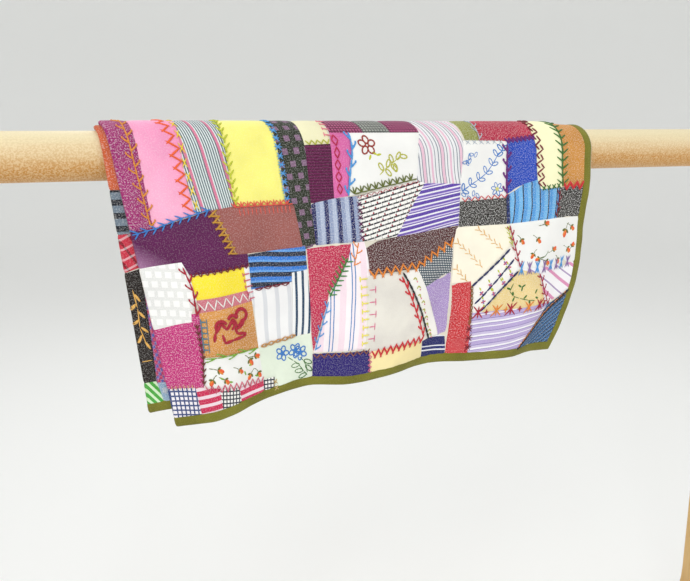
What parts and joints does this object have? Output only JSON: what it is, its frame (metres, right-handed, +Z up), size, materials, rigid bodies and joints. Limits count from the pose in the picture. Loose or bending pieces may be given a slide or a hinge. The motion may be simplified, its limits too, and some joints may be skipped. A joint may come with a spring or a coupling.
{
  "type": "quilt on a rack",
  "caption": "Folded patchwork quilt with a bound edge, laid over the round top rail of a free-standing trestle rack held together by tenons, pegs and wedges.",
  "frame": {"origin": "on the floor, under the middle of the rack", "axes": "+X along the rail towards the quilt's bound edge, +Z up, -Y the front, where the lower corner of the quilt hangs"},
  "size_m": [1.108, 0.34, 0.91],
  "materials": {
    "rail_wood": "oiled, pale straw",
    "frame_wood": "oiled",
    "peg_wood": "oiled, darker",
    "pad_felt": "pressed felt",
    "screw_steel": "bright",
    "quilt_cloth": "pieced cottons and silks with embroidery",
    "binding_cloth": "plain weave"
  },
  "bodies": {
    "rack": {"left_back_pad": "pad_felt", "left_back_peg": "peg_wood", "left_foot": "frame_wood", "left_front_pad": "pad_felt", "left_front_peg": "peg_wood", "left_post": "frame_wood", "left_rail_screw": "screw_steel", "left_screw_button": "peg_wood", "left_wedge": "peg_wood", "right_back_pad": "pad_felt", "right_back_peg": "peg_wood", "right_foot": "frame_wood", "right_front_pad": "pad_felt", "right_front_peg": "peg_wood", "right_post": "frame_wood", "right_rail_screw": "screw_steel", "right_screw_button": "peg_wood", "right_wedge": "peg_wood", "stretcher": "frame_wood", "top_rail": "rail_wood"},
    "quilt": {"quilt_under_half": "quilt_cloth", "quilt_upper_half": "quilt_cloth", "under_hem_binding": "binding_cloth", "under_side_binding": "binding_cloth", "upper_hem_binding": "binding_cloth", "upper_side_binding": "binding_cloth"}
  },
  "joints": [
    {"name": "quilt_lift", "type": "slide", "parent": "rack", "child": "quilt", "axis": [0, 0, 1], "range_m": [0, 0.4]}
  ]
}
